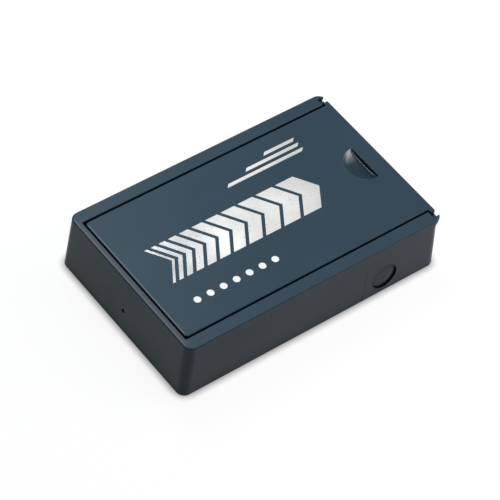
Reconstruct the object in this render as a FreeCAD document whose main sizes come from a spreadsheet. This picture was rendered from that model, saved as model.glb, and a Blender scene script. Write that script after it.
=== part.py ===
import FreeCAD, Part
import math
import os
import Sketcher

# Magnetic key holder box: a drafted plastic tray whose lid slides out of two undercut rails,
# with two ferrite magnets on steel back plates set into the underside.
#
# Millimetres and degrees. The origin is on the resting face, under the middle of the box.
# +X points to the open end, where the lid slides out, +Y across the box and +Z up.

DOC = FreeCAD.newDocument("KeyHolderBox")
SHEET = DOC.addObject("Spreadsheet::Sheet", "Sizes")

SIZES = [
    # Tray, outside
    ("base_length", 101.85, "length over the foot"),
    ("base_width", 64.2, "width over the foot"),
    ("box_height", 22.0, "foot to rim"),
    ("wall_draft", 1.9, "lean of the closed end wall and the long walls, inwards going up"),
    ("closed_corner", 3.0, "upright corner radius at the closed end"),
    ("open_corner", 3.4, "upright corner radius at the open end"),
    ("rim_round", 0.5, "rounding of the outer rim"),
    ("foot_round", 0.5, "rounding round the foot"),
    # Open end: the wall leans in to a neck and flares out again under the lid
    ("rim_setback", 0.58, "ends of the ears behind the foot"),
    ("nose_setback", 0.91, "neck behind the ends of the ears"),
    ("flare_height", 3.6, "neck to the upright rim above it"),
    ("rim_upright", 0.8, "upright rim over the flare"),
    # Walls and cavity
    ("end_wall", 2.1, "closed end wall at the rim"),
    ("nose_wall", 2.3, "open end wall at the neck"),
    ("ear_wall", 1.7, "wall outside the groove at the rim"),
    ("ledge_width", 1.6, "ledge that a lid tongue rests on"),
    ("floor_thickness", 2.0, "tray floor"),
    ("cavity_corner", 2.0, "upright corner radius in the cavity"),
    ("cavity_round", 1.0, "rounding where the cavity meets the floor"),
    # Rails
    ("lip_thickness", 1.9, "lip over the groove"),
    ("rail_width", 4.45, "rim to the lip's edge"),
    ("lip_relief", 3.1, "length of rail at the open end with no lip"),
    ("lip_round", 0.3, "rounding of the lip's edge"),
    # Lid
    ("tongue_thickness", 1.2, "tongue in the groove"),
    ("side_play", 0.25, "tongue to groove, each side"),
    ("lift_play", 0.1, "tongue to groove, above and below"),
    ("end_play", 0.15, "tongue to the closed end wall"),
    ("lip_gap", 0.7, "raised field to each lip"),
    ("end_gap", 0.6, "raised field to the closed end wall"),
    ("lid_setback", 0.5, "lid end behind the ends of the ears"),
    ("head_length", 1.85, "wider head at the open end"),
    ("head_step", 1.35, "head beyond the raised field, each side"),
    ("head_corner", 0.3, "upright corner radius of the head"),
    ("lid_corner", 1.1, "upright corner radius of the raised field"),
    ("tongue_corner", 0.8, "upright corner radius of the tongue plate"),
    ("lid_round", 0.35, "rounding of the raised field"),
    ("core_depth", 1.4, "depth of the hollow under the lid"),
    ("core_margin", 3.5, "lid edge to the hollow"),
    ("core_rib", 1.6, "cross rib in the hollow"),
    # Thumb scoop
    ("scoop_radius", 7.0, "half-round outline of the scoop"),
    ("scoop_depth", 1.6, "depth in the middle of the push step"),
    ("scoop_bow", 0.4, "rise of the scoop's floor, middle to side"),
    ("scoop_side", 1.8, "width of the scoop's curved side"),
    ("scoop_inset", 6.5, "lid end to the push step"),
    ("scoop_land", 3.2, "solid lid kept behind the scoop"),
    ("scoop_round", 0.2, "rounding of the scoop's edge"),
    ("step_foot_round", 0.25, "rounding where the step meets the floor"),
    # Magnets
    ("magnet_length", 38.0, "ferrite bar, across the box"),
    ("magnet_width", 19.0, "ferrite bar, along the box"),
    ("magnet_thickness", 5.0, "ferrite bar"),
    ("magnet_bevel", 0.6, "ground bevel round the ferrite bar"),
    ("magnet_recess", 0.2, "magnet face above the resting face"),
    ("magnet_inset", 21.4, "end of the foot to the middle of a magnet"),
    ("plate_thickness", 1.0, "steel back plate"),
    ("plate_corner", 1.0, "corner radius of the back plate"),
    ("adhesive_thickness", 0.3, "adhesive layer"),
    ("adhesive_margin", 1.5, "plate edge to the adhesive"),
    ("pocket_play", 0.2, "magnet to pocket, each side"),
    ("pocket_roof", 1.5, "plastic over the pocket"),
    ("pocket_wall", 1.6, "plastic round the pocket"),
    ("block_round", 0.8, "rounding of the pocket block in the cavity"),
    # Moulding marks
    ("disc_radius", 4.7, "round mark on the long wall"),
    ("disc_depth", 0.65, "sunk rim of the round mark"),
    ("disc_crown", 0.3, "rise of its domed face"),
    ("disc_offset", 28.4, "middle of the box to the round mark"),
    ("disc_height", 7.0, "foot to the round mark"),
    ("pit_radius", 0.75, "gate pit on the closed end wall"),
    ("pit_depth", 1.0, "gate pit"),
    ("pit_height", 8.8, "foot to the gate pit"),
]

for row, (alias, size, note) in enumerate(SIZES, start=1):
    SHEET.set(f"A{row}", str(size))
    SHEET.setAlias(f"A{row}", alias)
    SHEET.set(f"B{row}", note)
DOC.recompute()

# Places that several pieces share, each worked out from the sizes above.
LEAN = "tan(Sizes.wall_draft * 1 deg)"
HALF_LENGTH = "(Sizes.base_length / 2)"
CLOSED_RIM_X = f"({HALF_LENGTH} - Sizes.box_height * {LEAN})"
RIM_X = f"({HALF_LENGTH} - Sizes.rim_setback)"
RIM_Y = f"(Sizes.base_width / 2 - Sizes.box_height * {LEAN})"
NECK_X = f"({RIM_X} - Sizes.nose_setback)"
FLARE_TOP = "(Sizes.box_height - Sizes.rim_upright)"
NECK_Z = f"({FLARE_TOP} - Sizes.flare_height)"
FLARE_RADIUS = "(1.2 * Sizes.open_corner)"  # of its upper arc, so that the corners can follow it
SLOT_END_X = f"({CLOSED_RIM_X} - Sizes.end_wall)"
LIP_END_X = f"({RIM_X} - Sizes.lip_relief)"
LID_END_X = f"({RIM_X} - Sizes.lid_setback)"
LIP_Y = f"({RIM_Y} - Sizes.rail_width)"
GROOVE_Y = f"({RIM_Y} - Sizes.ear_wall)"
CAVITY_Y = f"({GROOVE_Y} - Sizes.ledge_width)"
CAVITY_END_X = f"({NECK_X} - Sizes.nose_wall)"
LIP_Z = "(Sizes.box_height - Sizes.lip_thickness)"
GROOVE_HEIGHT = "(Sizes.tongue_thickness + 2 * Sizes.lift_play)"
GROOVE_Z = f"({LIP_Z} - {GROOVE_HEIGHT})"
PLATE_Z = "(Sizes.magnet_recess + Sizes.magnet_thickness)"
ADHESIVE_Z = f"({PLATE_Z} + Sizes.plate_thickness)"
POCKET_DEPTH = f"({ADHESIVE_Z} + Sizes.adhesive_thickness)"
MAGNET_X = f"({HALF_LENGTH} - Sizes.magnet_inset)"
MAGNET_HALF_X = "(Sizes.magnet_width / 2)"
MAGNET_HALF_Y = "(Sizes.magnet_length / 2)"
CLEAR = "Sizes.box_height"  # how far a cut runs on past the solid

UP = FreeCAD.Vector(0, 0, 1)


def value(expression):
    """What an expression comes to, as a plain number."""
    result = SHEET.evalExpression(expression)
    return float(getattr(result, "Value", result))


def near(number, target):
    return abs(number - target) < 0.01


# Sketches


def new_body(name, label):
    body = DOC.addObject("PartDesign::Body", name)
    body.Label = label
    return body


def origin_plane(body, role):
    return next(feature for feature in body.Origin.OriginFeatures if feature.Role == role)


def new_sketch(body, name, plane, **offset):
    """An empty sketch on one of the body's origin planes, moved by expressions for x, y and z."""
    sketch = body.newObject("Sketcher::SketchObject", name)
    sketch.AttachmentSupport = [(origin_plane(body, plane), "")]
    sketch.MapMode = "FlatFace"
    for axis, expression in offset.items():
        sketch.setExpression(f"AttachmentOffset.Base.{axis}", expression)
    return sketch


def point(across, up):
    return FreeCAD.Vector(value(across), value(up), 0)


def bind(sketch, kind, *where, expression):
    """Adds a size to the sketch and ties it to an expression."""
    index = sketch.addConstraint(Sketcher.Constraint(kind, *where, value(expression)))
    sketch.setExpression(f"Constraints[{index}]", expression)


def pin(sketch, geometry, end, corner):
    """Holds one point of a piece of geometry at the place that two expressions give."""
    across, up = corner
    bind(sketch, "DistanceX", geometry, end, expression=across)
    bind(sketch, "DistanceY", geometry, end, expression=up)


def line(sketch, start, end):
    return sketch.addGeometry(Part.LineSegment(point(*start), point(*end)))


def outline(sketch, corners):
    """A closed outline of straight sides through corners given as (across, up) expressions."""
    sides = [line(sketch, *ends) for ends in zip(corners, corners[1:] + corners[:1])]
    for side, before, corner in zip(sides, sides[-1:] + sides[:-1], corners):
        sketch.addConstraint(Sketcher.Constraint("Coincident", before, 2, side, 1))
        pin(sketch, side, 1, corner)


def rectangle(sketch, left, right, low, high):
    outline(sketch, [(left, low), (right, low), (right, high), (left, high)])


def bowed_floor(sketch, reach, rim, middle):
    """The floor of a round hollow, left of the sketch's upright axis: an arc that crosses the axis
    at middle and ends at the height rim, as far out as reach says."""
    out, rise = value(reach), value(f"{rim} - {middle}")
    radius = (out**2 + rise**2) / (2 * rise)
    turn = math.asin(out / radius)
    circle = Part.Circle(point("0", middle) + FreeCAD.Vector(0, radius, 0), UP, radius)
    floor = sketch.addGeometry(Part.ArcOfCircle(circle, -math.pi / 2 - turn, -math.pi / 2))
    bind(sketch, "DistanceX", floor, 3, expression="0")
    pin(sketch, floor, 1, (f"-{reach}", rim))
    pin(sketch, floor, 2, ("0", middle))
    return floor


def curved_side(sketch, floor, corner):
    """The arc that carries a bowed floor on, without a bend, to the hollow's edge at corner."""
    arc = sketch.Geometry[floor]
    bend, edge = arc.StartPoint, point(*corner)
    inwards = (arc.Center - bend) / arc.Radius
    chord = edge - bend
    radius = chord.Length**2 / (2 * chord.dot(inwards))
    centre = bend + inwards * radius
    turns = [math.atan2(place.y - centre.y, place.x - centre.x) for place in (edge, bend)]
    side = sketch.addGeometry(Part.ArcOfCircle(Part.Circle(centre, UP, radius), *turns))
    sketch.addConstraint(Sketcher.Constraint("Tangent", side, 2, floor, 1))
    pin(sketch, side, 1, corner)
    return side


def close_hollow(sketch, side, corner, far, floor):
    """Closes a hollow's profile from the outer end of its side, at corner, by way of far to the
    place where its floor crosses the axis."""
    across = corner[0]
    outer = line(sketch, corner, (across, far))
    mouth = line(sketch, (across, far), ("0", far))
    axis = sketch.addGeometry(Part.LineSegment(point("0", far), sketch.Geometry[floor].EndPoint))
    for ends in [(side, 1, outer, 1), (outer, 2, mouth, 1), (mouth, 2, axis, 1), (axis, 2, floor, 2)]:
        sketch.addConstraint(Sketcher.Constraint("Coincident", *ends))
    pin(sketch, outer, 2, (across, far))
    pin(sketch, mouth, 2, ("0", far))


# Features


def pad(body, name, sketch, length, both_ways=False):
    feature = body.newObject("PartDesign::Pad", name)
    feature.Profile = sketch
    feature.SideType = "Symmetric" if both_ways else "One side"
    feature.setExpression("Length", length)
    sketch.Visibility = False
    DOC.recompute()
    return feature


def pocket(body, name, sketch, depth):
    """Cuts along the sketch's normal."""
    before = body.Tip.Shape.Volume
    feature = body.newObject("PartDesign::Pocket", name)
    feature.Profile = sketch
    feature.Reversed = True
    feature.setExpression("Length", depth)
    sketch.Visibility = False
    DOC.recompute()
    check_cut(feature, before)


def groove(body, name, sketch, sweep):
    """Turns a sketch about its own upright axis, as far to one side as to the other, and cuts."""
    before = body.Tip.Shape.Volume
    feature = body.newObject("PartDesign::Groove", name)
    feature.Profile = sketch
    feature.ReferenceAxis = (sketch, ["V_Axis"])
    feature.Midplane = True
    feature.Angle = sweep
    sketch.Visibility = False
    DOC.recompute()
    check_cut(feature, before)


def check_cut(feature, before):
    if not feature.Shape.Volume < before - 1e-3:
        raise RuntimeError(f"{feature.Name} cuts nothing")


def edges_where(shape, test):
    """Names of the edges whose ends and middle all pass the test."""
    names = []
    for number, edge in enumerate(shape.Edges, start=1):
        middle = edge.valueAt((edge.FirstParameter + edge.LastParameter) / 2)
        if all(test(place) for place in [vertex.Point for vertex in edge.Vertexes] + [middle]):
            names.append(f"Edge{number}")
    return names


def fillet(body, name, test, radius):
    base = body.Tip
    feature = body.newObject("PartDesign::Fillet", name)
    feature.Base = (base, edges_where(base.Shape, test))
    feature.setExpression("Radius", radius)
    DOC.recompute()


def chamfer(body, name, test, size):
    base = body.Tip
    feature = body.newObject("PartDesign::Chamfer", name)
    feature.Base = (base, edges_where(base.Shape, test))
    feature.setExpression("Size", size)
    DOC.recompute()


# Tray


def side_view(sketch):
    """The tray from the side. The closed end wall leans in. The open end wall leans in to its
    neck and turns out to the upright rim in two arcs."""
    foot_closed, foot_open = (f"-{HALF_LENGTH}", "0"), (HALF_LENGTH, "0")
    neck, flare_end = (NECK_X, NECK_Z), (RIM_X, FLARE_TOP)
    top_open, top_closed = (RIM_X, "Sizes.box_height"), (f"-{CLOSED_RIM_X}", "Sizes.box_height")

    foot = line(sketch, foot_closed, foot_open)
    open_wall = line(sketch, foot_open, neck)
    open_rim = line(sketch, flare_end, top_open)
    top = line(sketch, top_open, top_closed)
    closed_wall = line(sketch, top_closed, foot_closed)

    height, setback = value("Sizes.flare_height"), value("Sizes.nose_setback")
    both_radii = (height**2 + setback**2) / (2 * setback)
    turn = math.asin(height / both_radii)
    rim_radius = value(FLARE_RADIUS)
    neck_radius = both_radii - rim_radius
    neck_circle = Part.Circle(point(*neck) + FreeCAD.Vector(neck_radius, 0, 0), UP, neck_radius)
    rim_circle = Part.Circle(point(*flare_end) - FreeCAD.Vector(rim_radius, 0, 0), UP, rim_radius)
    neck_arc = sketch.addGeometry(Part.ArcOfCircle(neck_circle, math.pi - turn, math.pi))
    rim_arc = sketch.addGeometry(Part.ArcOfCircle(rim_circle, -turn, 0))

    for kind, *where in [
        ("Coincident", foot, 2, open_wall, 1),
        ("Tangent", open_wall, 2, neck_arc, 2),
        ("Tangent", neck_arc, 1, rim_arc, 1),
        ("Tangent", rim_arc, 2, open_rim, 1),
        ("Coincident", open_rim, 2, top, 1),
        ("Coincident", top, 2, closed_wall, 1),
        ("Coincident", closed_wall, 2, foot, 1),
    ]:
        sketch.addConstraint(Sketcher.Constraint(kind, *where))
    pin(sketch, foot, 1, foot_closed)
    pin(sketch, foot, 2, foot_open)
    pin(sketch, open_wall, 2, neck)
    pin(sketch, open_rim, 1, flare_end)
    bind(sketch, "Radius", rim_arc, expression=FLARE_RADIUS)
    pin(sketch, top, 1, top_open)
    pin(sketch, top, 2, top_closed)


def block(body):
    """The tray's outer form, still solid."""
    side = new_sketch(body, "SideView", "XZ_Plane")
    side_view(side)
    raw = pad(body, "Block", side, "Sizes.base_width", both_ways=True)

    half_width = value("Sizes.base_width / 2")
    long_walls = [
        f"Face{number}"
        for number, face in enumerate(raw.Shape.Faces, start=1)
        if near(abs(face.CenterOfMass.y), half_width)
    ]
    draft = body.newObject("PartDesign::Draft", "LongWallDraft")
    DOC.recompute()
    draft.Base = (raw, long_walls)
    draft.NeutralPlane = (origin_plane(body, "XY_Plane"), [""])
    draft.setExpression("Angle", "Sizes.wall_draft")
    DOC.recompute()

    closed_x, open_x, side_y = 0.1 - value(CLOSED_RIM_X), value(NECK_X) - 0.1, value(RIM_Y) - 0.1
    top = value("Sizes.box_height")
    fillet(body, "ClosedCorners", lambda p: p.x < closed_x and abs(p.y) > side_y, "Sizes.closed_corner")
    fillet(body, "OpenCorners", lambda p: p.x > open_x and abs(p.y) > side_y, "Sizes.open_corner")
    fillet(body, "RimRound", lambda p: near(p.z, top), "Sizes.rim_round")
    fillet(body, "FootRound", lambda p: near(p.z, 0), "Sizes.foot_round")


def rails(body):
    """The slot between the lips, the groove under them and the stretch with no lip, at whose
    sides the ears are left."""
    past_end = f"{RIM_X} + {CLEAR}"

    slot = new_sketch(body, "SlotPlan", "XY_Plane", z=LIP_Z)
    rectangle(slot, f"-{SLOT_END_X}", past_end, f"-{LIP_Y}", LIP_Y)
    pocket(body, "Slot", slot, CLEAR)

    top, lip_y, slot_end = value("Sizes.box_height"), value(LIP_Y), -value(SLOT_END_X)
    fillet(
        body,
        "LipRound",
        lambda p: near(p.z, top) and (near(abs(p.y), lip_y) or near(p.x, slot_end)),
        "Sizes.lip_round",
    )

    relief = new_sketch(body, "LipReliefPlan", "XY_Plane", z=LIP_Z)
    rectangle(relief, LIP_END_X, past_end, f"-{GROOVE_Y}", GROOVE_Y)
    pocket(body, "LipRelief", relief, CLEAR)

    groove_plan = new_sketch(body, "GroovePlan", "XY_Plane", z=GROOVE_Z)
    rectangle(groove_plan, f"-{SLOT_END_X}", past_end, f"-{GROOVE_Y}", GROOVE_Y)
    pocket(body, "LidGroove", groove_plan, GROOVE_HEIGHT)


def cavity(body):
    """The space for keys, rounded in its corners and round its floor."""
    plan = new_sketch(body, "CavityPlan", "XY_Plane", z="Sizes.floor_thickness")
    rectangle(plan, f"-{SLOT_END_X}", CAVITY_END_X, f"-{CAVITY_Y}", CAVITY_Y)
    pocket(body, "Cavity", plan, f"{GROOVE_Z} - Sizes.floor_thickness")

    floor, side_y = value("Sizes.floor_thickness"), value(CAVITY_Y)
    ends = -value(SLOT_END_X), value(CAVITY_END_X)
    fillet(
        body,
        "CavityCorners",
        lambda p: near(abs(p.y), side_y) and (near(p.x, ends[0]) or near(p.x, ends[1])),
        "Sizes.cavity_corner",
    )
    fillet(body, "CavityFloorRound", lambda p: near(p.z, floor), "Sizes.cavity_round")


def magnet_pocket(body, end, side):
    """A raised block in the cavity, open below, that one magnet sits in."""
    middle = f"{side} * {MAGNET_X}"
    hole_x, hole_y = f"({MAGNET_HALF_X} + Sizes.pocket_play)", f"({MAGNET_HALF_Y} + Sizes.pocket_play)"
    block_x, block_y = f"({hole_x} + Sizes.pocket_wall)", f"({hole_y} + Sizes.pocket_wall)"
    block_top = f"({POCKET_DEPTH} + Sizes.pocket_roof)"

    plan = new_sketch(body, f"{end}BlockPlan", "XY_Plane", z="Sizes.floor_thickness / 2")
    rectangle(plan, f"{middle} - {block_x}", f"{middle} + {block_x}", f"-{block_y}", block_y)
    pad(body, f"{end}Block", plan, f"{block_top} - Sizes.floor_thickness / 2")

    middle_x, half_x, half_y, top = [value(size) for size in (middle, block_x, block_y, block_top)]

    def on_block(p):
        on_corner = near(abs(p.x - middle_x), half_x) and near(abs(p.y), half_y)
        return p.x * side > 0 and (on_corner or near(p.z, top))

    fillet(body, f"{end}BlockRound", on_block, "Sizes.block_round")

    hole = new_sketch(body, f"{end}PocketPlan", "XY_Plane")
    rectangle(hole, f"{middle} - {hole_x}", f"{middle} + {hole_x}", f"-{hole_y}", hole_y)
    pocket(body, f"{end}Pocket", hole, POCKET_DEPTH)


def round_mark(body):
    """A round mark sunk square to the leaning long wall, with a domed face."""
    wall_y = f"Sizes.disc_height * {LEAN} - Sizes.base_width / 2"
    sketch = new_sketch(
        body, "RoundMarkProfile", "XY_Plane", x="Sizes.disc_offset", y=wall_y, z="Sizes.disc_height"
    )
    sketch.setExpression("AttachmentOffset.Rotation.Axis.x", "1")
    sketch.setExpression("AttachmentOffset.Rotation.Axis.z", "0")
    sketch.setExpression("AttachmentOffset.Rotation.Angle", "-Sizes.wall_draft")
    face_middle = "(Sizes.disc_depth - Sizes.disc_crown)"
    face = bowed_floor(sketch, "Sizes.disc_radius", "Sizes.disc_depth", face_middle)
    corner = ("-Sizes.disc_radius", "Sizes.disc_depth")
    close_hollow(sketch, face, corner, "-Sizes.disc_radius", face)
    groove(body, "RoundMark", sketch, 360)


def gate_pit(body):
    """The pit left where plastic was fed in, in the middle of the closed end wall."""
    sketch = new_sketch(body, "GatePitPlan", "YZ_Plane", z=f"-{HALF_LENGTH}")
    middle = ("0", "Sizes.pit_height")
    ring = sketch.addGeometry(Part.Circle(point(*middle), UP, value("Sizes.pit_radius")))
    pin(sketch, ring, 3, middle)
    bind(sketch, "Radius", ring, expression="Sizes.pit_radius")
    pocket(body, "GatePit", sketch, f"Sizes.pit_height * {LEAN} + Sizes.pit_depth")


def box_body():
    body = new_body("BoxBody", "box_body")
    block(body)
    rails(body)
    cavity(body)
    magnet_pocket(body, "ClosedEnd", -1)
    magnet_pocket(body, "OpenEnd", 1)
    round_mark(body)
    gate_pit(body)
    return body


# Lid


def sliding_lid():
    """The lid, on its own underside: a tongue plate that runs in the grooves, a raised field that
    fills the slot up to the rim, and a head at the open end that is wider than the slot."""
    body = new_body("SlidingLid", "sliding_lid")
    body.setExpression("Placement.Base.z", f"{GROOVE_Z} + Sizes.lift_play")

    tongue_end, tongue_y = f"({SLOT_END_X} - Sizes.end_play)", f"({GROOVE_Y} - Sizes.side_play)"
    tongue = new_sketch(body, "TonguePlan", "XY_Plane")
    rectangle(tongue, f"-{tongue_end}", LID_END_X, f"-{tongue_y}", tongue_y)
    pad(body, "TonguePlate", tongue, "Sizes.tongue_thickness")
    corner_x, corner_y = -value(tongue_end), value(tongue_y)
    fillet(
        body,
        "TongueCorners",
        lambda p: near(p.x, corner_x) and near(abs(p.y), corner_y),
        "Sizes.tongue_corner",
    )

    thickness = f"(Sizes.box_height - {GROOVE_Z} - Sizes.lift_play)"
    field_end, field_y = f"({SLOT_END_X} - Sizes.end_gap)", f"({LIP_Y} - Sizes.lip_gap)"
    head_x, head_y = f"({LID_END_X} - Sizes.head_length)", f"({field_y} + Sizes.head_step)"
    half_outline = [(LID_END_X, head_y), (head_x, head_y), (head_x, field_y), (f"-{field_end}", field_y)]
    field = new_sketch(body, "FieldPlan", "XY_Plane")
    outline(field, half_outline + [(across, f"-{up}") for across, up in reversed(half_outline)])
    pad(body, "RaisedField", field, thickness)

    field_x, side_y, top = -value(field_end), value(field_y), value(thickness)
    end_x, end_y, plate_top = value(LID_END_X), value(head_y), value("Sizes.tongue_thickness") - 0.01

    def on_head_corner(p):
        return near(p.x, end_x) and near(abs(p.y), end_y) and p.z > plate_top

    def on_field_corner(p):
        return near(p.x, field_x) and near(abs(p.y), side_y)

    fillet(body, "HeadCorners", on_head_corner, "Sizes.head_corner")
    fillet(body, "FieldCorners", on_field_corner, "Sizes.lid_corner")
    fillet(body, "FieldRound", lambda p: near(p.z, top), "Sizes.lid_round")

    scoop(body, thickness)
    hollow(body, f"({field_end} - Sizes.core_margin)", f"({field_y} - Sizes.core_margin)")
    return body


def scoop(body, thickness):
    """A half-round hollow with a bowed floor and a curved side. A thumb pushes its upright step."""
    step_x = f"{LID_END_X} - Sizes.scoop_inset"
    sketch = new_sketch(body, "ScoopProfile", "XZ_Plane", x=step_x)
    deepest = f"({thickness} - Sizes.scoop_depth)"
    reach, bend = "(Sizes.scoop_radius - Sizes.scoop_side)", f"({deepest} + Sizes.scoop_bow)"
    floor = bowed_floor(sketch, reach, bend, deepest)
    corner = ("-Sizes.scoop_radius", thickness)
    side = curved_side(sketch, floor, corner)
    close_hollow(sketch, side, corner, f"({thickness} + {CLEAR})", floor)
    groove(body, "Scoop", sketch, 180)

    middle, top, radius = value(step_x), value(thickness), value("Sizes.scoop_radius") + 0.1

    def on_step_foot(p):
        return near(p.x, middle) and abs(p.y) < radius and p.z < top - 0.01 and p.z > 0.01

    def on_rim(p):
        return near(p.z, top) and math.hypot(p.x - middle, p.y) < radius

    fillet(body, "StepFootRound", on_step_foot, "Sizes.step_foot_round")
    fillet(body, "ScoopRound", on_rim, "Sizes.scoop_round")


def hollow(body, far_end, side_y):
    """Two shallow hollows in the underside, with a rib between them, so that the lid stays flat."""
    near_end = f"({LID_END_X} - Sizes.scoop_inset - Sizes.scoop_radius - Sizes.scoop_land)"
    rib = f"(({near_end} - {far_end}) / 2)"
    plan = new_sketch(body, "HollowPlan", "XY_Plane")
    rectangle(plan, f"-{far_end}", f"{rib} - Sizes.core_rib / 2", f"-{side_y}", side_y)
    rectangle(plan, f"{rib} + Sizes.core_rib / 2", near_end, f"-{side_y}", side_y)
    pocket(body, "UndersideHollow", plan, "Sizes.core_depth")


# Magnets


def bar(name, label, size, side, height):
    """A flat bar across the box in one magnet pocket, with its underside at the given height."""
    half_x, half_y, thickness = size
    body = new_body(name, label)
    body.setExpression("Placement.Base.x", f"{side} * {MAGNET_X}")
    body.setExpression("Placement.Base.z", height)
    plan = new_sketch(body, f"{name}Plan", "XY_Plane")
    rectangle(plan, f"-{half_x}", half_x, f"-{half_y}", half_y)
    pad(body, f"{name}Bar", plan, thickness)
    return body


def magnet_stack(end, label, side):
    """Ferrite magnet, steel back plate over it and the adhesive that holds both to the roof."""
    magnet = bar(
        f"{end}Magnet",
        f"{label}_magnet",
        (MAGNET_HALF_X, MAGNET_HALF_Y, "Sizes.magnet_thickness"),
        side,
        "Sizes.magnet_recess",
    )
    chamfer(magnet, f"{end}MagnetBevel", lambda p: True, "Sizes.magnet_bevel")

    plate = bar(
        f"{end}Plate",
        f"{label}_back_plate",
        (MAGNET_HALF_X, MAGNET_HALF_Y, "Sizes.plate_thickness"),
        side,
        PLATE_Z,
    )
    half_x, half_y = value(MAGNET_HALF_X), value(MAGNET_HALF_Y)
    fillet(
        plate,
        f"{end}PlateCorners",
        lambda p: near(abs(p.x), half_x) and near(abs(p.y), half_y),
        "Sizes.plate_corner",
    )

    layer_x = f"({MAGNET_HALF_X} - Sizes.adhesive_margin)"
    layer_y = f"({MAGNET_HALF_Y} - Sizes.adhesive_margin)"
    adhesive = bar(
        f"{end}Adhesive",
        f"{label}_adhesive",
        (layer_x, layer_y, "Sizes.adhesive_thickness"),
        side,
        ADHESIVE_Z,
    )
    return [magnet, plate, adhesive]


pieces = [box_body(), sliding_lid()]
pieces += magnet_stack("ClosedEnd", "closed_end", -1)
pieces += magnet_stack("OpenEnd", "open_end", 1)
DOC.recompute()

for item in DOC.Objects:
    if "Invalid" in item.State or "Error" in item.State:
        raise RuntimeError(f"{item.Label} failed: {item.getStatusString()}")
for piece in pieces:
    if piece.Shape.isNull() or not piece.Shape.isValid() or len(piece.Shape.Solids) != 1:
        raise RuntimeError(f"{piece.Label} is not one valid solid")

os.makedirs("parts", exist_ok=True)
for piece in pieces:
    piece.Shape.exportStep(f"parts/{piece.Label}.step")
    print(f"{piece.Label}: {piece.Shape.Volume:.1f} mm3")
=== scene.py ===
import math

import bmesh
import bpy
from mathutils import Matrix, Vector


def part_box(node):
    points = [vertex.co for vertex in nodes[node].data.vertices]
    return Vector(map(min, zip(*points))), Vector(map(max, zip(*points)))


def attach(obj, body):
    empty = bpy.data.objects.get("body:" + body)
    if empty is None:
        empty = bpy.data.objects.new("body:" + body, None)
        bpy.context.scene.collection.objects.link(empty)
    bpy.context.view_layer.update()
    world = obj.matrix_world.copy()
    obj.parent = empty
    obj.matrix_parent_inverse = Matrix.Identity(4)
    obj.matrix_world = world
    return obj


# A magnetic key holder box: a moulded plastic tray with a sliding lid, foil print on the lid, and
# two ferrite magnets under it. Everything is in metres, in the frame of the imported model.

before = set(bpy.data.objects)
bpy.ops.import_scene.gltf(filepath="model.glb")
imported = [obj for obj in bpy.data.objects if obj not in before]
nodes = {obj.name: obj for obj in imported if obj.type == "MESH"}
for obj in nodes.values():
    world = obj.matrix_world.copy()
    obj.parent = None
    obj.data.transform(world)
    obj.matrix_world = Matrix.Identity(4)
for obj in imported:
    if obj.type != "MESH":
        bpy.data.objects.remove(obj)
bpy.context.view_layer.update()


# Camera. A long lens looks down on the closed end and one long side of the box, tipped a little
# so that the box runs uphill to the right.

VIEW_AZIMUTH = math.radians(-45.22)
VIEW_ELEVATION = math.radians(49.41)
VIEW_TIP = math.radians(10.18)
VIEW_DISTANCE = 0.8219
VIEW_AIM = Vector((-0.003755, -0.00280, 0.0110))
LENS_MM = 188.74
SENSOR_MM = 36


def new_object(name, data):
    thing = bpy.data.objects.new(name, data)
    bpy.context.scene.collection.objects.link(thing)
    return thing


camera = new_object("camera", bpy.data.cameras.new("camera"))
camera.data.lens = LENS_MM
camera.data.sensor_width = SENSOR_MM
back = Vector((
    math.sin(VIEW_AZIMUTH) * math.cos(VIEW_ELEVATION),
    -math.cos(VIEW_AZIMUTH) * math.cos(VIEW_ELEVATION),
    math.sin(VIEW_ELEVATION),
))
level = back.to_track_quat("Z", "Y").to_matrix().to_4x4()
tip = Matrix.Rotation(VIEW_TIP, 4, "Z")
camera.matrix_world = Matrix.Translation(VIEW_AIM + back * VIEW_DISTANCE) @ level @ tip
bpy.context.scene.camera = camera


# Studio. A white table in a white room, with two cool lamps behind the box, two warm ones at its
# right and a white one high on the right. Table and room show as plain white, with a painted contact
# shadow where the box stands and a faint cast shadow from the lamps in front of it.

bpy.context.scene.view_settings.view_transform = "Standard"

ROOM_LIGHT = 0.24
TABLE_HALF = 3.0
TABLE_WHITE = (0.80, 0.80, 0.80, 1)
TABLE_GLOW = 1.04
TABLE_SHADING = 0.12  # how much of the table's white comes from the lamps
CONTACT_REACH = 0.0030  # how far from the box its painted contact shadow reaches
CONTACT_DARK = 0.42
CONTACT_SKY = (0.50, 0.95)  # the share of open sky where that painted shadow is darkest, and where it ends

WHITE_LIGHT = (1, 1, 1)
COOL_LIGHT = (0.82, 0.94, 1.0)
WARM_LIGHT = (1.0, 0.90, 0.93)
LAMPS = [
    # name, place, width, watts, colour
    ("back_lamp", (0.15, 0.60, 0.45), 0.40, 0.7, COOL_LIGHT),
    ("right_lamp", (0.62, -0.50, 0.33), 0.40, 1.6, WARM_LIGHT),
    ("near_right_lamp", (0.34, -0.22, 0.22), 0.25, 0.52, WARM_LIGHT),
    ("high_right_lamp", (0.48, -0.05, 0.48), 0.45, 1.8, WHITE_LIGHT),
    ("close_back_lamp", (0.03, 0.14, 0.27), 0.09, 0.42, COOL_LIGHT),
]


def add_node(tree, kind, inputs, **settings):
    """A new node. Each of its inputs takes a number, a colour or another node's output."""
    node = tree.nodes.new(kind)
    for name, setting in settings.items():
        setattr(node, name, setting)
    for name, given in inputs.items():
        if isinstance(given, bpy.types.NodeSocket):
            tree.links.new(given, node.inputs[name])
        else:
            node.inputs[name].default_value = given
    return node


def calculate(tree, operation, *terms):
    """The result of one sum on numbers or on other nodes' outputs."""
    return add_node(tree, "ShaderNodeMath", dict(enumerate(terms)), operation=operation).outputs[0]


def ramp(tree, number, start, end, low, high):
    """A number turned from the range start to end into the range low to high."""
    ends = {"Value": number, "From Min": start, "From Max": end, "To Min": low, "To Max": high}
    return add_node(tree, "ShaderNodeMapRange", ends).outputs[0]


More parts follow.
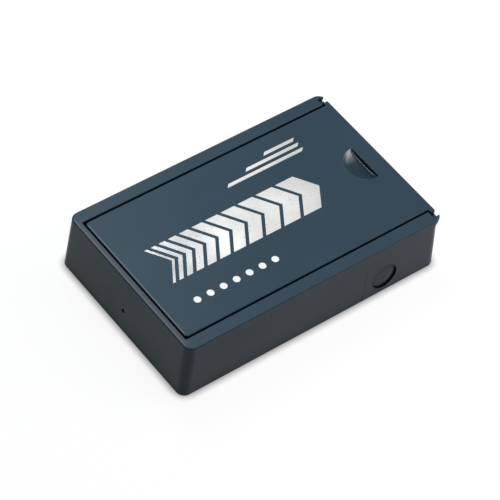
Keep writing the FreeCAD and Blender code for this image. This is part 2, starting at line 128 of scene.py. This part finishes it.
def new_tree(data):
    data.use_nodes = True
    data.node_tree.nodes.clear()
    return data.node_tree


def seen_directly(tree):
    """1 for rays from the camera, from a mirror-like surface or through a clear one, else 0."""
    path = add_node(tree, "ShaderNodeLightPath", {})
    seen = calculate(tree, "MAXIMUM", path.outputs["Is Camera Ray"], path.outputs["Is Glossy Ray"])
    return calculate(tree, "MAXIMUM", seen, path.outputs["Is Transmission Ray"])


room = bpy.data.worlds.new("white_room")
bpy.context.scene.world = room
tree = new_tree(room)
strength = ramp(tree, seen_directly(tree), 0, 1, ROOM_LIGHT, 1)
air = add_node(tree, "ShaderNodeBackground", {"Color": (1, 1, 1, 1), "Strength": strength})
add_node(tree, "ShaderNodeOutputWorld", {"Surface": air.outputs[0]})

bm = bmesh.new()
bmesh.ops.create_grid(bm, x_segments=1, y_segments=1, size=TABLE_HALF)
table = new_object("table", bpy.data.meshes.new("table"))
bm.to_mesh(table.data)
bm.free()

white_board = bpy.data.materials.new("white_board")
tree = new_tree(white_board)
board = add_node(tree, "ShaderNodeBsdfDiffuse", {"Color": TABLE_WHITE})
# The contact shadow is painted shade: an occlusion pass darkens the table's glow close to the box.
nearby = add_node(tree, "ShaderNodeAmbientOcclusion", {"Distance": CONTACT_REACH}, samples=16)
contact = ramp(tree, nearby.outputs["AO"], *CONTACT_SKY, CONTACT_DARK, TABLE_GLOW)
glow = add_node(tree, "ShaderNodeEmission", {"Strength": contact})
shown = calculate(tree, "MULTIPLY", seen_directly(tree), 1 - TABLE_SHADING)
both = add_node(tree, "ShaderNodeMixShader", {0: shown, 1: board.outputs[0], 2: glow.outputs[0]})
add_node(tree, "ShaderNodeOutputMaterial", {"Surface": both.outputs[0]})
table.data.materials.append(white_board)

for name, place, width, watts, colour in LAMPS:
    lamp = new_object(name, bpy.data.lights.new(name, "AREA"))
    lamp.data.size = width
    lamp.data.energy = watts
    lamp.data.color = colour
    lamp.location = place
    lamp.rotation_euler = Vector(place).to_track_quat("Z", "Y").to_euler()


# Tray. One moulding of dark plastic with a satin finish: smooth and blue-grey on top and inside,
# with a fine spark-eroded grain and a more neutral grey on the outer walls; the top's bluer tone is
# painted cool sheen. The gate was at the closed end, and a round insert in the mould left its mark
# in one long wall.

# The top's blue beside the walls' neutral grey is a painted cool sheen on the top and inside.
TRAY_TOP = (0.022, 0.0445, 0.065, 1)
TRAY_WALL = (0.0195, 0.0270, 0.0355, 1)
TRAY_END = (0.0140, 0.0285, 0.0350, 1)  # the wall at the closed end, painted darker and bluer as a painted reflection of cool light on that side
FACING_END = (-0.95, -0.60)  # facings along X of a wall that has all of that colour, and none
WALL_THICKNESS = 0.0018  # less than the thinnest outer wall, so that nothing inside counts as wall
RIM_DROP = 0.00018  # how far below the rim the eroded wall begins
RIM_TINT = 0.30  # how much of the top's blue the walls are painted just under the rim, a painted sheen
RIM_TINT_REACH = (0.0050, 0.0005)  # where that painted sheen starts and is full, below the rim
WALL_PAINTED_LIGHT = (0.024, 0.048, 0.98, 1.30)  # from here to here the wall is painted this much paler, a painted pool of light from the right

DARK_SHADE_AND_LINE = (0.005, 0.009, 0.013, 1)  # painted shade on upright faces below the top, in the gaps and the scoop's step; also the witness line's colour
UPRIGHT = 0.35
SHADE_DROP = 0.0002  # how far below the top they begin

PAINTED_LIGHT_FALLOFF = (-0.050, 0.045, 1.06, 0.90)  # smooth faces painted a little paler from the far end to the gate, a painted falloff of light
SHEEN_BAND = (0.048, 0.060, 0.077, 1)  # a pale band on the rim beside the gate, a painted sheen
SHEEN_BAND_END = -0.0476
SHEEN_BAND_HALF = 0.0275
SHEEN_BAND_FADE = 0.002

EDGE_HIGHLIGHT = (0.100, 0.112, 0.128, 1)  # the rim's edge at the closed end, painted pale as a highlight
EDGE_HIGHLIGHT_X = -0.04962
EDGE_HIGHLIGHT_HALF = 0.0300
EDGE_HIGHLIGHT_WIDTH = (0.00010, 0.00035)  # full and no painted highlight, to each side of the edge's line
EDGE_HIGHLIGHT_FADE = 0.002
EDGE_HIGHLIGHT_SLOPE = (0.3, 0.6)

MARK_X = 0.0284
MARK_Z = 0.0070
MARK_RADIUS = 0.0047
# A ring of painted shade round the edge of the insert's mark, where its recess is in shadow.
MARK_SHADE = (0.001, 0.001, 0.001, 1)
MARK_SHADE_INSIDE = 0.00042  # how far the ring of painted shade reaches in and out from the mark's edge
MARK_SHADE_OUTSIDE = 0.00036
MARK_SHADE_SHIFT = 0.00016  # it is wider above the mark and on the gate's side
WITNESS_X = 0.0201  # a fine upright line on the wall, from the edge of the insert
WITNESS_WIDTH = (0.00018, 0.00030)
WITNESS_TOP = (0.0140, 0.0160)

SPARK_GRAIN = 6500  # pits per metre in the mould's eroded faces
FLOW_MARKS = 45  # cloudy patches per metre, from the way the plastic filled the mould


def colour_mix(tree, share, first, second):
    inputs = {0: share, 6: first, 7: second}
    return add_node(tree, "ShaderNodeMix", inputs, data_type="RGBA").outputs[2]


def noise(tree, place, scale, detail=2, roughness=0.5):
    inputs = {"Vector": place, "Scale": scale, "Detail": detail, "Roughness": roughness}
    return add_node(tree, "ShaderNodeTexNoise", inputs).outputs[0]


def patchy(tree, pattern, low, high):
    """A number that is low in the dark patches of a noise pattern and high in its pale ones."""
    return ramp(tree, pattern, 0.3, 0.7, low, high)


def bumped(tree, height, rise, strength):
    inputs = {"Height": height, "Distance": rise, "Strength": strength}
    return add_node(tree, "ShaderNodeBump", inputs).outputs[0]


def brightened(tree, colour, factor):
    return add_node(tree, "ShaderNodeHueSaturation", {"Color": colour, "Value": factor}).outputs[0]


def new_material(name):
    """A material, its tree and the place on the piece that its patterns follow."""
    material = bpy.data.materials.new(name)
    tree = new_tree(material)
    return material, tree, add_node(tree, "ShaderNodeTexCoord", {}).outputs["Object"]


def along_axes(tree, place):
    """The place's distances along X, Y and Z."""
    return add_node(tree, "ShaderNodeSeparateXYZ", {"Vector": place}).outputs


def facing(tree, axis):
    """Which way the surface faces, from -1 to 1 along one axis of the piece."""
    return along_axes(tree, add_node(tree, "ShaderNodeTexCoord", {}).outputs["Normal"])[axis]


def principled(tree, **inputs):
    named = {name.replace("_", " "): given for name, given in inputs.items()}
    surface = add_node(tree, "ShaderNodeBsdfPrincipled", named)
    add_node(tree, "ShaderNodeOutputMaterial", {"Surface": surface.outputs[0]})


def product(tree, *terms):
    result = terms[0]
    for term in terms[1:]:
        result = calculate(tree, "MULTIPLY", result, term)
    return result


def distance(tree, number, middle):
    return calculate(tree, "ABSOLUTE", calculate(tree, "SUBTRACT", number, middle))


def highlight_line(tree, x, middle, y, half):
    """1 on a line across the top of the box at middle, where a highlight is painted, else 0. It fades
    out to both sides and at its ends, half its length from the box's middle."""
    return product(
        tree,
        ramp(tree, distance(tree, x, middle), *EDGE_HIGHLIGHT_WIDTH, 1, 0),
        ramp(tree, calculate(tree, "ABSOLUTE", y), half - EDGE_HIGHLIGHT_FADE, half, 1, 0),
        ramp(tree, facing(tree, "Z"), *EDGE_HIGHLIGHT_SLOPE, 0, 1),
    )


def shaded_upright_face(tree, z, top):
    """1 on upright faces below the top, where shade is painted, else 0."""
    upright = calculate(tree, "LESS_THAN", calculate(tree, "ABSOLUTE", facing(tree, "Z")), UPRIGHT)
    return product(tree, upright, calculate(tree, "LESS_THAN", z, top - SHADE_DROP))


# Painted light: faces grow paler towards the closed end, where the lamps behind it fall.
def painted_light_towards_closed_end(tree, x, colour):
    return brightened(tree, colour, ramp(tree, x, *PAINTED_LIGHT_FALLOFF))


def moulded_plastic(tree, place, colour, eroded, glossy):
    """Satin plastic, with a coarser grain where eroded is 1 and a skin of gloss where glossy is 1."""
    flow = noise(tree, place, FLOW_MARKS, detail=3)
    grain = noise(tree, place, SPARK_GRAIN, roughness=0.6)
    principled(
        tree,
        Base_Color=brightened(tree, colour, patchy(tree, flow, 0.94, 1.06)),
        Roughness=patchy(tree, flow, 0.38, 0.46),
        Specular_IOR_Level=0.12,
        Coat_Weight=glossy,
        Coat_Roughness=0.36,
        Coat_IOR=2.0,
        Normal=bumped(tree, grain, 0.00002, ramp(tree, eroded, 0, 1, 0.15, 0.45)),
    )


tray_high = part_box("box_body")[1]
tray_plastic, tree, place = new_material("tray_plastic")
x, y, z = along_axes(tree, place)
from_side = calculate(tree, "ABSOLUTE", y)
at_side = calculate(tree, "GREATER_THAN", from_side, tray_high.y - WALL_THICKNESS)
at_end = calculate(tree, "GREATER_THAN", calculate(tree, "ABSOLUTE", x), tray_high.x - WALL_THICKNESS)
below_rim = ramp(tree, z, tray_high.z - RIM_DROP, tray_high.z - RIM_DROP / 3, 1, 0)
wall = product(tree, calculate(tree, "MAXIMUM", at_side, at_end), below_rim)

# A painted sheen on the rim's band beside the gate.
beside_gate = product(
    tree,
    calculate(tree, "LESS_THAN", x, SHEEN_BAND_END),
    ramp(tree, from_side, SHEEN_BAND_HALF, SHEEN_BAND_HALF + SHEEN_BAND_FADE, 1, 0),
)
colour = colour_mix(tree, beside_gate, painted_light_towards_closed_end(tree, x, TRAY_TOP), SHEEN_BAND)
# Painted shade on the tray's upright inner faces.
colour = colour_mix(tree, shaded_upright_face(tree, z, tray_high.z), colour, DARK_SHADE_AND_LINE)

# The closed end's wall takes its painted reflection tint.
to_closed_end = ramp(tree, facing(tree, "X"), *FACING_END, 1, 0)
wall_colour = colour_mix(tree, to_closed_end, TRAY_WALL, TRAY_END)
# Painted light: the wall grows paler towards the open end.
wall_colour = brightened(tree, wall_colour, ramp(tree, x, *WALL_PAINTED_LIGHT))
# Painted sheen: the walls take some of the top's blue just under the rim.
tint_start, tint_full = (tray_high.z - drop for drop in RIM_TINT_REACH)
near_rim = ramp(tree, z, tint_start, tint_full, 0, RIM_TINT)
wall_colour = colour_mix(tree, near_rim, wall_colour, TRAY_TOP)
colour = colour_mix(tree, wall, colour, wall_colour)
# A painted highlight along the rim's edge at the closed end.
colour = colour_mix(tree, highlight_line(tree, x, EDGE_HIGHLIGHT_X, y, EDGE_HIGHLIGHT_HALF), colour, EDGE_HIGHLIGHT)

near_wall = product(tree, at_side, calculate(tree, "LESS_THAN", y, 0))
witness = product(
    tree,
    near_wall,
    ramp(tree, distance(tree, x, WITNESS_X), *WITNESS_WIDTH, 1, 0),
    ramp(tree, z, *WITNESS_TOP, 1, 0),
)
colour = colour_mix(tree, witness, colour, DARK_SHADE_AND_LINE)
# Painted shade in a ring round the insert's mark.
beside_mark = distance(tree, x, MARK_X - MARK_SHADE_SHIFT)
above_mark = distance(tree, z, MARK_Z + MARK_SHADE_SHIFT)
squares = product(tree, beside_mark, beside_mark), product(tree, above_mark, above_mark)
from_mark = calculate(tree, "SQRT", calculate(tree, "ADD", *squares))
mark_shade = product(
    tree,
    near_wall,
    calculate(tree, "GREATER_THAN", from_mark, MARK_RADIUS - MARK_SHADE_INSIDE),
    calculate(tree, "LESS_THAN", from_mark, MARK_RADIUS + MARK_SHADE_OUTSIDE),
)
colour = colour_mix(tree, mark_shade, colour, MARK_SHADE)
moulded_plastic(tree, place, colour, wall, 0)
nodes["box_body"].data.materials[0] = tray_plastic


# Lid. A thin moulding of the same plastic, smooth all over, that slides in the tray's rails on a
# tongue along each side. Thumbs push on the step of the scoop at its open end, and have polished
# the scoop's far side and the step's foot.

LID_BLUE = (0.020, 0.0435, 0.065, 1)
# The lid's edge at the closed end, painted pale as a highlight.
LID_EDGE_HIGHLIGHT = (0.135, 0.150, 0.172, 1)
LID_EDGE_HIGHLIGHT_X = -0.04720
LID_EDGE_HIGHLIGHT_HALF = 0.0262

# The scoop's darker blue is painted shade, deeper below the lid's face.
SCOOP_SHADE = (0.006, 0.0215, 0.0335, 1)
SCOOP_START = Vector((0.0350, -0.0080, 0.0195))
SCOOP_END = Vector((0.0436, 0.0080, 0.02198))
SCOOP_DEPTH = (0.0001, 0.0008)  # where its painted shade starts and is full, below the lid's face
SHADE_SLANT = 3  # the painted shade fades on a slant, three parts along to one across
SHADE_FADE = (0.1215, 0.1280, 1, 0.05)  # along that slant, how much of the painted shade is left
BROW_DEPTH = 0.0006  # the rounded top of the step, painted as dark as its upright face, as painted shade
BROW_SLOPE = (-0.15, -0.45)
SIDE_GLOSS = (0.0025, 0.0065, 0, 0.75)  # across the scoop, how glossy it is
STEP_X = 0.0430
STEP_GLOSS = (0.15, 0.35, 0, 0.40)  # from upright to sloping faces of the step's foot

lid_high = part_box("sliding_lid")[1]
lid_plastic, tree, place = new_material("lid_plastic")
x, y, z = along_axes(tree, place)
in_scoop = product(tree, *[
    calculate(tree, "COMPARE", number, (start + end) / 2, (end - start) / 2)
    for number, start, end in zip((x, y, z), SCOOP_START, SCOOP_END)
])
shade_start, shade_full = (SCOOP_END.z - depth for depth in SCOOP_DEPTH)
depth = ramp(tree, z, shade_start, shade_full, 0, 1)
shaded_share = ramp(tree, calculate(tree, "MULTIPLY_ADD", x, SHADE_SLANT, y), *SHADE_FADE)
shade = product(tree, in_scoop, depth, shaded_share)
colour = colour_mix(tree, shade, painted_light_towards_closed_end(tree, x, LID_BLUE), SCOOP_SHADE)
# Painted shade on the lid's upright faces and the scoop's step.
colour = colour_mix(tree, shaded_upright_face(tree, z, lid_high.z), colour, DARK_SHADE_AND_LINE)
brow = product(
    tree,
    in_scoop,
    calculate(tree, "GREATER_THAN", z, SCOOP_END.z - BROW_DEPTH),
    ramp(tree, facing(tree, "X"), *BROW_SLOPE, 0, 1),
)
# Painted shade on the step's rounded top.
colour = colour_mix(tree, brow, colour, DARK_SHADE_AND_LINE)
# A painted highlight along the lid's edge at the closed end.
colour = colour_mix(tree, highlight_line(tree, x, LID_EDGE_HIGHLIGHT_X, y, LID_EDGE_HIGHLIGHT_HALF), colour, LID_EDGE_HIGHLIGHT)
step_foot = product(
    tree,
    calculate(tree, "GREATER_THAN", x, STEP_X),
    ramp(tree, facing(tree, "Z"), *STEP_GLOSS),
)
polished = calculate(tree, "MAXIMUM", ramp(tree, y, *SIDE_GLOSS), step_foot)
gloss = product(tree, calculate(tree, "SUBTRACT", in_scoop, brow), polished)
moulded_plastic(tree, place, colour, 0, gloss)
nodes["sliding_lid"].data.materials[0] = lid_plastic


# Print on the lid. A band of silver chevrons, hot stamped in foil, widens towards the open end to
# show which way the lid slides. Three foil bars and a row of white ink dots go with it.

PRINT_THICKNESS = 0.00003
PRINT_SINK = 0.00001  # how far the print is pressed into the plastic
CHEVRON_HEIGHT = 0.0150
CHEVRON_POINT = 0.0050
CHEVRON_START = -0.0385
CHEVRON_GAP = 0.0014
CHEVRON_WIDTHS = [0.0010 + 0.0006 * step for step in range(11)]
BAR_HEIGHT = 0.0012
BAR_PITCH = 0.0024
BAR_END = 0.0290
BAR_LENGTHS = [0.030, 0.021, 0.012]
BAR_START_Y = 0.0145
DOT_RADIUS = 0.0012
DOT_PITCH = 0.0050
DOT_COUNT = 7
DOT_START = Vector((-0.0360, -0.0165))
DOT_SIDES = 32

FOIL = (0.84, 0.84, 0.84, 1)
FOIL_START_TONE = (CHEVRON_START, CHEVRON_START + 0.024, 0.50, 1)  # painted duller towards the band's start, a painted reflection gradient
FOIL_END_TONE = (0, 0.028, 1, 0.80)  # and again towards its end
SPECK_GRAIN = 2600  # the foil missed some specks, which show the plastic
SPECK_SHARE = (0.66, 0.69)
INK = (0.84, 0.84, 0.83, 1)


def thin_print(name, bm, material):
    """Gives flat faces the thickness of the print, and lays them on the lid."""
    raised = bmesh.ops.extrude_face_region(bm, geom=bm.faces[:])
    corners = [item for item in raised["geom"] if isinstance(item, bmesh.types.BMVert)]
    bmesh.ops.translate(bm, verts=corners, vec=(0, 0, PRINT_THICKNESS + PRINT_SINK))
    bmesh.ops.translate(bm, verts=bm.verts, vec=(0, 0, lid_high.z - PRINT_SINK))
    bmesh.ops.recalc_face_normals(bm, faces=bm.faces)
    piece = new_object(name, bpy.data.meshes.new(name))
    bm.to_mesh(piece.data)
    bm.free()
    piece.data.materials.append(material)
    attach(piece, "lid")


def flat_face(bm, corners):
    bm.faces.new([bm.verts.new((x, y, 0)) for x, y in corners])


silver_foil, tree, place = new_material("silver_foil")
x = along_axes(tree, place)["X"]
cloud = noise(tree, place, 60, detail=3)
specks = ramp(tree, noise(tree, place, SPECK_GRAIN, detail=4), *SPECK_SHARE, 0, 1)
# The foil's tone: a painted reflection gradient along the band, with random cloudy patches.
tone = product(
    tree,
    ramp(tree, x, *FOIL_START_TONE),
    ramp(tree, x, *FOIL_END_TONE),
    patchy(tree, cloud, 0.90, 1.06),
)
principled(
    tree,
    Base_Color=colour_mix(tree, specks, brightened(tree, FOIL, tone), LID_BLUE),
    Metallic=ramp(tree, specks, 0, 1, 1, 0),
    Roughness=patchy(tree, cloud, 0.10, 0.18),
    Normal=bumped(tree, noise(tree, place, 3000), 0.00001, 0.3),
)

white_ink, tree, place = new_material("white_ink")
principled(
    tree,
    Base_Color=brightened(tree, INK, patchy(tree, noise(tree, place, 900), 0.94, 1.04)),
    Roughness=0.45,
    Normal=bumped(tree, noise(tree, place, 5000), 0.00001, 0.4),
)

bm = bmesh.new()
left = CHEVRON_START
for width in CHEVRON_WIDTHS:
    right = left + width
    top = CHEVRON_HEIGHT / 2
    flat_face(bm, [
        (left, -top), (right, -top), (right + CHEVRON_POINT, 0),
        (right, top), (left, top), (left + CHEVRON_POINT, 0),
    ])
    left = right + CHEVRON_GAP
thin_print("chevron_print", bm, silver_foil)

bm = bmesh.new()
for row, length in enumerate(BAR_LENGTHS):
    low = BAR_START_Y + row * BAR_PITCH
    high = low + BAR_HEIGHT
    flat_face(bm, [
        (BAR_END - length, low), (BAR_END, low),
        (BAR_END + BAR_HEIGHT, high), (BAR_END - length + BAR_HEIGHT, high),
    ])
thin_print("bar_print", bm, silver_foil)

bm = bmesh.new()
for number in range(DOT_COUNT):
    middle = Matrix.Translation((DOT_START.x + number * DOT_PITCH, DOT_START.y, 0))
    bmesh.ops.create_circle(bm, cap_ends=True, radius=DOT_RADIUS, segments=DOT_SIDES, matrix=middle)
thin_print("dot_print", bm, white_ink)


# Magnets. Two sintered ferrite bars, almost black and slightly grainy, with ground faces. Each lies
# in a pocket of the tray's underside, just short of the steel that it holds on to.

FERRITE = (0.045, 0.045, 0.048, 1)
GRINDING_LINES = (8000, 160, 1)  # fine lines across the bars and long ones along them

ferrite, tree, place = new_material("ferrite")
grain = noise(tree, place, 2200, detail=4, roughness=0.7)
stretched = add_node(tree, "ShaderNodeMapping", {"Vector": place, "Scale": GRINDING_LINES}).outputs[0]
grinding = noise(tree, stretched, 1, detail=3)
principled(
    tree,
    Base_Color=brightened(tree, FERRITE, patchy(tree, grain, 0.75, 1.3)),
    Roughness=patchy(tree, grinding, 0.42, 0.62),
    Normal=bumped(tree, calculate(tree, "ADD", grain, grinding), 0.00002, 0.5),
)
for node in ("closed_end_magnet", "open_end_magnet"):
    nodes[node].data.materials[0] = ferrite


# Back plates. Sheared mild steel with bright zinc plating, one behind each magnet, where it turns
# the magnet's pull towards the open face of the pocket.

ZINC = (0.62, 0.64, 0.66, 1)

zinc_plate, tree, place = new_material("zinc_plate")
spangle = noise(tree, place, 700, detail=3)
principled(
    tree,
    Base_Color=brightened(tree, ZINC, patchy(tree, spangle, 0.9, 1.05)),
    Metallic=1.0,
    Roughness=patchy(tree, spangle, 0.28, 0.42),
    Normal=bumped(tree, noise(tree, place, 3500), 0.00001, 0.3),
)
for node in ("closed_end_back_plate", "open_end_back_plate"):
    nodes[node].data.materials[0] = zinc_plate


# Adhesive. A thin layer of cured, slightly cloudy glue at the bottom of each pocket, which holds the
# back plate and the magnet on it.

GLUE = (0.62, 0.58, 0.48, 1)

cured_glue, tree, place = new_material("cured_glue")
cloud = noise(tree, place, 350, detail=3)
principled(
    tree,
    Base_Color=brightened(tree, GLUE, patchy(tree, cloud, 0.85, 1.08)),
    Roughness=patchy(tree, cloud, 0.35, 0.55),
    Normal=bumped(tree, noise(tree, place, 900), 0.00003, 0.5),
)
for node in ("closed_end_adhesive", "open_end_adhesive"):
    nodes[node].data.materials[0] = cured_glue
